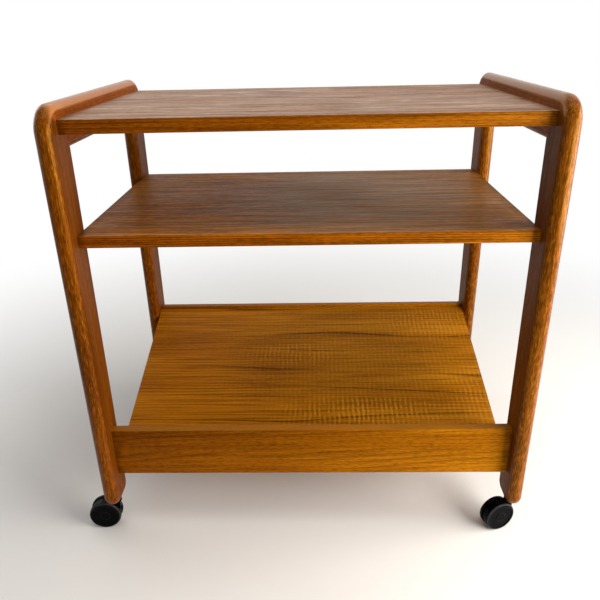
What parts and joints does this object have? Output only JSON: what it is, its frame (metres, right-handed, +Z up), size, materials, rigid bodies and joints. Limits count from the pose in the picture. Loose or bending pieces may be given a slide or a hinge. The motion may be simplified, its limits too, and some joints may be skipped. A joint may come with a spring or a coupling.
{
  "type": "serving trolley",
  "caption": "Teak serving trolley on swivelling twin-wheel castors, with half-round side frames, shelves above and a sloping panel behind a front board below.",
  "frame": {"origin": "on the floor under the middle of the trolley, where the castors stand", "axes": "+X to the trolley's right as seen from the front, along its width; +Y from the front to the rear; +Z up"},
  "size_m": [0.7244, 0.424, 0.666],
  "materials": {
    "frame_teak": "oiled solid teak, reddish orange-brown, satin",
    "top_veneer": "teak veneer with straight grain, faded to a pinkish grey-brown",
    "middle_veneer": "teak veneer with straight grain, darker, worn grey in the middle",
    "edge_lipping": "solid teak lipping with straight dark lines, satin",
    "panel_veneer": "figured teak veneer with wavy grain and cross ripple, golden brown, satin",
    "board_teak": "solid teak with plain grain, golden brown, satin",
    "rail_teak": "solid teak, satin",
    "dowel_wood": "plain beech",
    "castor_plastic": "black moulded plastic with a soft gloss",
    "castor_steel": "zinc-plated steel"
  },
  "bodies": {
    "trolley": {"left_front_leg": "frame_teak", "left_rear_leg": "frame_teak", "left_top_rail": "frame_teak", "right_front_leg": "frame_teak", "right_rear_leg": "frame_teak", "right_top_rail": "frame_teak", "top_shelf": "top_veneer", "middle_shelf": "middle_veneer", "top_shelf_front_lipping": "edge_lipping", "top_shelf_rear_lipping": "edge_lipping", "middle_shelf_front_lipping": "edge_lipping", "middle_shelf_rear_lipping": "edge_lipping", "sloping_panel": "panel_veneer", "front_board": "board_teak", "rear_rail": "rail_teak", "corner_tongues": "dowel_wood", "top_shelf_dowels": "dowel_wood", "middle_shelf_dowels": "dowel_wood", "front_board_dowels": "dowel_wood", "rear_rail_dowels": "dowel_wood", "panel_dowels": "dowel_wood", "front_left_castor_sleeve": "castor_steel", "front_right_castor_sleeve": "castor_steel", "rear_left_castor_sleeve": "castor_steel", "rear_right_castor_sleeve": "castor_steel"},
    "front_left_castor": {"front_left_castor_stem": "castor_steel", "front_left_castor_grip_ring": "castor_steel", "front_left_castor_housing": "castor_plastic", "front_left_castor_axle": "castor_steel"},
    "front_left_near_wheel": {"front_left_castor_near_wheel": "castor_plastic"},
    "front_left_far_wheel": {"front_left_castor_far_wheel": "castor_plastic"},
    "front_right_castor": {"front_right_castor_stem": "castor_steel", "front_right_castor_grip_ring": "castor_steel", "front_right_castor_housing": "castor_plastic", "front_right_castor_axle": "castor_steel"},
    "front_right_near_wheel": {"front_right_castor_near_wheel": "castor_plastic"},
    "front_right_far_wheel": {"front_right_castor_far_wheel": "castor_plastic"},
    "rear_left_castor": {"rear_left_castor_stem": "castor_steel", "rear_left_castor_grip_ring": "castor_steel", "rear_left_castor_housing": "castor_plastic", "rear_left_castor_axle": "castor_steel"},
    "rear_left_near_wheel": {"rear_left_castor_near_wheel": "castor_plastic"},
    "rear_left_far_wheel": {"rear_left_castor_far_wheel": "castor_plastic"},
    "rear_right_castor": {"rear_right_castor_stem": "castor_steel", "rear_right_castor_grip_ring": "castor_steel", "rear_right_castor_housing": "castor_plastic", "rear_right_castor_axle": "castor_steel"},
    "rear_right_near_wheel": {"rear_right_castor_near_wheel": "castor_plastic"},
    "rear_right_far_wheel": {"rear_right_castor_far_wheel": "castor_plastic"}
  },
  "joints": [
    {"name": "front_left_swivel", "type": "hinge", "parent": "trolley", "child": "front_left_castor", "pos_m": [-0.3165, -0.183, 0.053], "axis": [0, 0, 1], "continuous": true},
    {"name": "front_left_near_wheel_spin", "type": "hinge", "parent": "front_left_castor", "child": "front_left_near_wheel", "pos_m": [-0.33639, -0.18509, 0.025], "axis": [-0.1045, 0.9945, 0], "continuous": true},
    {"name": "front_left_far_wheel_spin", "type": "hinge", "parent": "front_left_castor", "child": "front_left_far_wheel", "pos_m": [-0.33639, -0.18509, 0.025], "axis": [-0.1045, 0.9945, 0], "continuous": true},
    {"name": "front_right_swivel", "type": "hinge", "parent": "trolley", "child": "front_right_castor", "pos_m": [0.3165, -0.183, 0.053], "axis": [0, 0, 1], "continuous": true},
    {"name": "front_right_near_wheel_spin", "type": "hinge", "parent": "front_right_castor", "child": "front_right_near_wheel", "pos_m": [0.29796, -0.19049, 0.025], "axis": [-0.3746, 0.9272, 0], "continuous": true},
    {"name": "front_right_far_wheel_spin", "type": "hinge", "parent": "front_right_castor", "child": "front_right_far_wheel", "pos_m": [0.29796, -0.19049, 0.025], "axis": [-0.3746, 0.9272, 0], "continuous": true},
    {"name": "rear_left_swivel", "type": "hinge", "parent": "trolley", "child": "rear_left_castor", "pos_m": [-0.3165, 0.183, 0.053], "axis": [0, 0, 1], "continuous": true},
    {"name": "rear_left_near_wheel_spin", "type": "hinge", "parent": "rear_left_castor", "child": "rear_left_near_wheel", "pos_m": [-0.29796, 0.19049, 0.025], "axis": [0.3746, -0.9272, 0], "continuous": true},
    {"name": "rear_left_far_wheel_spin", "type": "hinge", "parent": "rear_left_castor", "child": "rear_left_far_wheel", "pos_m": [-0.29796, 0.19049, 0.025], "axis": [0.3746, -0.9272, 0], "continuous": true},
    {"name": "rear_right_swivel", "type": "hinge", "parent": "trolley", "child": "rear_right_castor", "pos_m": [0.3165, 0.183, 0.053], "axis": [0, 0, 1], "continuous": true},
    {"name": "rear_right_near_wheel_spin", "type": "hinge", "parent": "rear_right_castor", "child": "rear_right_near_wheel", "pos_m": [0.33639, 0.18509, 0.025], "axis": [0.1045, -0.9945, 0], "continuous": true},
    {"name": "rear_right_far_wheel_spin", "type": "hinge", "parent": "rear_right_castor", "child": "rear_right_far_wheel", "pos_m": [0.33639, 0.18509, 0.025], "axis": [0.1045, -0.9945, 0], "continuous": true}
  ]
}
